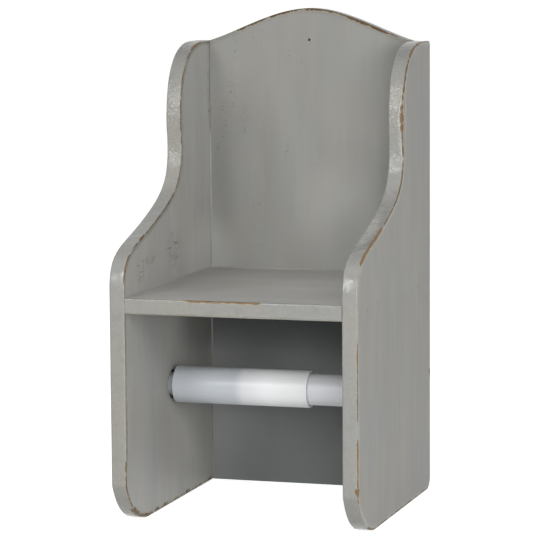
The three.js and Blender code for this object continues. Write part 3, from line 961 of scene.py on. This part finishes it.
def build_back(name, material):
    half_width = INNER - PANEL_GAP
    places, line = places_across(half_width)
    heights = crest_line(places)
    slant = np.sqrt(1 + np.gradient(heights, places) ** 2)

    def at(i, inset, through):
        return (places[i], BACK_FACE + through, heights[i] - inset * slant[i])

    def in_panel(radius, turn, depth):
        x = NAIL_HOLE[0] + radius * math.cos(turn)
        return (x, BACK_FACE + depth, NAIL_HOLE[1] + radius * math.sin(turn))

    wear = (along_line(line, CREST_WEAR, 11.3), along_line(line, NO_WEAR, 15.9))
    shell = Shell()
    columns = level_edge(shell, places, wear, BACK_THICKNESS, 1.0, (60.0, 70.0), at)
    rows = list(zip(*columns))
    shell.join(rows, closed=False)
    # Painted shade inside the nail hole
    hole = shell.pit(NAIL_HOLE_RINGS, in_panel, SMALL_HOLLOW_SIDES, grime_and_shade=1.0, through=True)
    ends = (half_width, -half_width)
    # Painted shade towards the bottom corners of the panel's front
    front_foot = [shell.add((x, BACK_FACE, 0.0), grime_and_shade=0.2) for x in ends]
    rear_foot = [shell.add((x, REAR, 0.0)) for x in ends]
    shell.fill([[*rows[0], *front_foot], hole[0]], X, Z)
    shell.fill([[*rows[-1], *rear_foot], hole[-1]], X, Z)
    shell.fill([[*columns[-1], rear_foot[0], front_foot[0]]], Y, Z)
    shell.fill([[*columns[0], rear_foot[1], front_foot[1]]], Y, Z)
    shell.faces.append((front_foot[0], front_foot[1], rear_foot[1], rear_foot[0]))
    return shell.make(f"{name}_board", "case", "paint", material, name)


def build_shelf(name, material):
    places, line = places_across(INNER)

    def at(i, inset, through):
        return (places[i], FRONT + inset, SHELF_HEIGHT - through)

    wear = (along_line(line, SHELF_WEAR, 21.7), along_line(line, SHELF_LOWER_WEAR, 27.1))
    shell = Shell()
    columns = level_edge(
        shell, places, wear, SHELF_THICKNESS, SHELF_LOWER_ROUND, (80.0, 95.0), at)
    rows = list(zip(*columns))
    shell.join(rows, closed=False)
    ends = (INNER, -INNER)
    # Painted shade towards the shelf's back corners
    top = [shell.add((x, BACK_FACE, SHELF_HEIGHT), grime_and_shade=0.25) for x in ends]
    bottom = [shell.add((x, BACK_FACE, SHELF_UNDERSIDE)) for x in ends]
    shell.fill([[*rows[0], *top]], X, Y)
    shell.fill([[*rows[-1], *bottom]], X, Y)
    shell.fill([[*columns[-1], bottom[0], top[0]]], Y, Z)
    shell.fill([[*columns[0], bottom[1], top[1]]], Y, Z)
    shell.faces.append((top[0], top[1], bottom[1], bottom[0]))
    return shell.make(f"{name}_board", "case", "paint", material, name)


# Filler beads in the inside corners

def build_bead(name, start, end, one_way, other_way, width, material):
    """Hollow fillet along a corner: its section reaches one way and the other from the corner"""
    start, end, one_way, other_way = (Vector(v) for v in (start, end, one_way, other_way))
    apart = 50  # keeps the unevenness of the two ways from being alike
    steps = round((end - start).length / BEAD_STEP)
    shell = Shell()
    rings = []
    for i in range(steps + 1):
        corner = start.lerp(end, i / steps)
        full = width * min(1.0, BEAD_TIP + BEAD_TAPER * min(i, steps - i))
        one, other = (
            full * (BEAD_LEAST + BEAD_REST * uneven(corner + way * apart, BEAD_WAVE))
            for way in (one_way, other_way))
        section = [corner + one_way * (one * a) + other_way * (other * b) for a, b in BEAD_SECTION]
        rings.append([shell.add(point) for point in section])
    shell.join(rings)
    shell.cap(rings)
    return shell.make(name, "case", "paint", material)


def build_beads(material, shelf_material):
    right, left = (1, 0, 0), (-1, 0, 0)
    forward, up, down = (0, -1, 0), (0, 0, 1), (0, 0, -1)
    for label, x, inward in (("left", -INNER, right), ("right", INNER, left)):
        build_bead(
            f"bead_back_upper_{label}", (x, BACK_FACE, SHELF_HEIGHT), (x, BACK_FACE, BEAD_TOP),
            forward, inward, BACK_BEAD, material)
        build_bead(
            f"bead_back_lower_{label}", (x, BACK_FACE, BEAD_FOOT), (x, BACK_FACE, SHELF_UNDERSIDE),
            forward, inward, BACK_BEAD, material)
        build_bead(
            f"bead_shelf_top_{label}", (x, BEAD_FRONT, SHELF_HEIGHT), (x, BACK_FACE, SHELF_HEIGHT),
            inward, up, SHELF_TOP_BEAD, shelf_material)
        build_bead(
            f"bead_shelf_under_{label}", (x, BEAD_FRONT, SHELF_UNDERSIDE),
            (x, BACK_FACE, SHELF_UNDERSIDE), inward, down, SHELF_UNDER_BEAD, material)
    build_bead(
        "bead_shelf_back", (-INNER, BACK_FACE, SHELF_HEIGHT), (INNER, BACK_FACE, SHELF_HEIGHT),
        forward, up, SHELF_BACK_BEAD, material)


# Roller

def softened(corners):
    """Profile of (radius, x, round) corners with each corner rounded by its own amount"""
    points = []
    for i, (radius, x, round_by) in enumerate(corners):
        here = Vector((radius, x))
        if not round_by:
            points.append(here)
            continue
        before = (Vector(corners[i - 1][:2]) - here).normalized() * round_by
        after = (Vector(corners[i + 1][:2]) - here).normalized() * round_by
        for t in (0.0, 0.25, 0.5, 0.75, 1.0):
            points.append(here + before * (1 - t) ** 2 + after * t ** 2)
    return points


def lathe(shell, profile):
    """Turns a profile, which starts and ends on the roller's axis, with a faint mould seam"""
    turns = [2 * math.pi * k / SLEEVE_SIDES for k in range(SLEEVE_SIDES)]
    seams = {SLEEVE_SIDES // 8, 5 * SLEEVE_SIDES // 8}
    tips = []
    rings = []
    for radius, x in profile:
        if radius == 0.0:
            tips.append(shell.add((x, 0.0, AXIS_HEIGHT)))
            continue
        ring = []
        for k, turn in enumerate(turns):
            reach = radius - (SEAM_DEPTH if k in seams and radius > PIN_RADIUS else 0.0)
            ring.append(shell.add((x, reach * math.cos(turn), AXIS_HEIGHT + reach * math.sin(turn))))
        rings.append(ring)
    shell.join(rings)
    shell.fan(rings[0], tips[0])
    shell.fan(rings[-1], tips[1])


def build_roller(outer_plastic, inner_plastic):
    wall = SLEEVE_END - END_WALL
    lip_end = MOUTH - LIP_LENGTH
    outer = Shell()
    lathe(outer, softened([
        (0.0, -PIN_TIP, 0), (PIN_RADIUS, -PIN_TIP, PIN_TIP_ROUND),
        (PIN_RADIUS, -SLEEVE_END, PIN_ROOT_ROUND), (OUTER_SLEEVE_RADIUS, -SLEEVE_END, SLEEVE_ROUND),
        (OUTER_SLEEVE_RADIUS, MOUTH, MOUTH_ROUND), (LIP_RADIUS, MOUTH, LIP_ROUND),
        (LIP_RADIUS, lip_end, 0), (OUTER_SLEEVE_BORE, lip_end, 0),
        (OUTER_SLEEVE_BORE, -wall, 0), (0.0, -wall, 0)]))
    outer.make("outer_sleeve_moulding", "outer_sleeve", "roller_plastic", outer_plastic, "outer_sleeve")
    flange_end = INNER_START + FLANGE_LENGTH
    inner = Shell()
    lathe(inner, softened([
        (0.0, wall, 0), (INNER_SLEEVE_BORE, wall, 0),
        (INNER_SLEEVE_BORE, INNER_START, 0), (FLANGE_RADIUS, INNER_START, FLANGE_ROUND),
        (FLANGE_RADIUS, flange_end, 0), (INNER_SLEEVE_RADIUS, flange_end, 0),
        (INNER_SLEEVE_RADIUS, SLEEVE_END, SLEEVE_ROUND), (PIN_RADIUS, SLEEVE_END, PIN_ROOT_ROUND),
        (PIN_RADIUS, PIN_TIP, PIN_TIP_ROUND), (0.0, PIN_TIP, 0)]))
    inner.make("inner_sleeve_moulding", "inner_sleeve", "roller_plastic", inner_plastic, "inner_sleeve")


def build_spring(material):
    """The spring inside the sleeves"""
    reach = SPRING_REACH - WIRE_RADIUS
    open_turns = SPRING_TURNS - 2 * SPRING_END_TURNS
    open_pitch = (2 * reach - 2 * SPRING_END_TURNS * SPRING_END_PITCH) / open_turns
    sideways = Vector((1.0, 0.0, 0.0))
    shell = Shell()
    rings = []
    for i in range(SPRING_TURNS * SPRING_TURN_STEPS + 1):
        turn = i / SPRING_TURN_STEPS
        opened = min(max(turn - SPRING_END_TURNS, 0.0), open_turns)
        x = -reach + SPRING_END_PITCH * (turn - opened) + open_pitch * opened
        angle = 2 * math.pi * turn
        outward = Vector((0.0, math.cos(angle), math.sin(angle)))
        middle = Vector((x, 0.0, AXIS_HEIGHT)) + outward * SPRING_RADIUS
        ring = []
        for k in range(WIRE_SIDES):
            around = 2 * math.pi * k / WIRE_SIDES
            offset = outward * math.cos(around) + sideways * math.sin(around)
            ring.append(shell.add(middle + offset * WIRE_RADIUS))
        rings.append(ring)
    shell.join(rings)
    shell.cap(rings)
    spring = shell.make("spring_wire", "outer_sleeve", "spring_steel", material, "roller_spring")
    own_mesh(spring)


def finish_brads(material):
    for name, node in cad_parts.items():
        if "brad" in name:
            node.data.materials.clear()
            node.data.materials.append(material)


# Studio

def background_rays(nodes, links):
    """1 for the rays that show the background itself: to the camera, or through gloss and glass"""
    path = nodes.new("ShaderNodeLightPath")
    shown = path.outputs["Is Camera Ray"]
    for kind in ("Is Glossy Ray", "Is Transmission Ray"):
        either = nodes.new("ShaderNodeMath")
        either.operation = "MAXIMUM"
        links.new(shown, either.inputs[0])
        links.new(path.outputs[kind], either.inputs[1])
        shown = either.outputs[0]
    return shown


def build_floor():
    s = Shader("floor_sheet")
    tooth = s.noise(s.millimetres(), 0.2)
    dark, light = (srgb(*colour) for colour in FLOOR_COLOURS)
    s.set(Base_Color=s.mix(tooth, dark, light), Roughness=0.9)
    shown = background_rays(s.tree.nodes, s.tree.links)
    s.set(Emission_Color=WHITE, Emission_Strength=s.times(shown, FLOOR_GLOW))
    corners = []
    for x, y in ((-1, -1), (1, -1), (1, 1), (-1, 1)):
        corners.append((x * FLOOR_REACH, y * FLOOR_REACH, 0))
    mesh = bpy.data.meshes.new("floor")
    mesh.from_pydata(corners, [], [(0, 1, 2, 3)])
    mesh.materials.append(s.material)
    floor = bpy.data.objects.new("floor", mesh)
    bpy.context.collection.objects.link(floor)


def build_world():
    world = bpy.data.worlds.new("studio")
    world.use_nodes = True
    bpy.context.scene.world = world
    tree = world.node_tree
    level = tree.nodes.new("ShaderNodeMapRange")
    level.inputs["To Min"].default_value = SKY_LEVEL
    level.inputs["To Max"].default_value = 1.0
    tree.links.new(background_rays(tree.nodes, tree.links), level.inputs["Value"])
    tree.nodes["Background"].inputs["Color"].default_value = WHITE
    tree.links.new(level.outputs[0], tree.nodes["Background"].inputs["Strength"])


def build_lamp(lamp):
    """Soft light aimed at the holder"""
    turn, rise = math.radians(lamp.azimuth), math.radians(lamp.elevation)
    level = math.cos(rise)
    way = Vector((math.sin(turn) * level, -math.cos(turn) * level, math.sin(rise)))
    data = bpy.data.lights.new(lamp.name, "AREA")
    data.shape = "RECTANGLE"
    data.size = lamp.width
    data.size_y = lamp.height
    data.energy = lamp.watts
    made = bpy.data.objects.new(lamp.name, data)
    made.location = Vector(LAMP_AIM) + way * LAMP_DISTANCE
    made.rotation_euler = way.to_track_quat("Z", "Y").to_euler()
    bpy.context.collection.objects.link(made)


def build_camera():
    yaw, pitch, roll = (math.radians(a) for a in (CAMERA_YAW, CAMERA_PITCH, CAMERA_ROLL))
    level = math.cos(pitch)
    forward = Vector((-math.sin(yaw) * level, math.cos(yaw) * level, -math.sin(pitch)))
    right = forward.cross(Vector((0.0, 0.0, 1.0))).normalized()
    up = right.cross(forward)
    rolled_right = right * math.cos(roll) + up * math.sin(roll)
    rolled_up = up * math.cos(roll) - right * math.sin(roll)
    data = bpy.data.cameras.new("camera")
    data.lens = CAMERA_LENS
    data.sensor_width = SENSOR
    camera = bpy.data.objects.new("camera", data)
    turned = Matrix((rolled_right, rolled_up, -forward)).transposed().to_4x4()
    camera.matrix_world = Matrix.Translation(CAMERA_PLACE) @ turned
    bpy.context.collection.objects.link(camera)
    bpy.context.scene.camera = camera


build_camera()
# Each board's and bead's tone is painted light and shade for how the lamps fall on it
left_paint = paint(
    "paint_left", Z, tone=21.5, specular=0.5, rubbed=LEFT_SCUFFS, painted_light=LEFT_PAINTED_LIGHT, painted_shade=LEFT_PAINTED_SHADE)
right_paint = paint(
    "paint_right", Z, tone=-5.5, specular=0.5, rubbed=RIGHT_SCUFFS, painted_light=RIGHT_PAINTED_LIGHT)
back_paint = paint(
    "paint_back", Z, tone=4.0, specular=0.18, holed=BACK_PIN_HOLES, painted_light=BACK_PAINTED_LIGHT, painted_shade=BACK_PAINTED_SHADE,
    panel=True)
shelf_paint = paint(
    "paint_shelf", X, tone=29.5, specular=0.5, painted_light=SHELF_PAINTED_LIGHT, painted_shade=SHELF_PAINTED_SHADE)
bead_paint = paint("paint_bead", Z, tone=-2.0)
shelf_bead_paint = paint("paint_shelf_bead", Y, tone=14.0)
build_side("left_side", -1, LEFT_INNER_WEAR, LEFT_OUTER_WEAR, 0.0, left_paint)
build_side("right_side", 1, RIGHT_INNER_WEAR, RIGHT_OUTER_WEAR, SANDED_ROUND, right_paint)
build_back("back_panel", back_paint)
build_shelf("shelf", shelf_paint)
build_beads(bead_paint, shelf_bead_paint)
build_roller(
    roller_plastic("plastic_outer", OUTER_PLASTIC, doubled=INNER_START),
    roller_plastic("plastic_inner", INNER_PLASTIC))
build_spring(steel("spring_wire_steel", *SPRING_STEEL))
finish_brads(steel("brad_steel", *BRAD_STEEL))

build_floor()
build_world()
for lamp in LAMPS:
    build_lamp(lamp)
bpy.context.scene.view_settings.view_transform = "Standard"
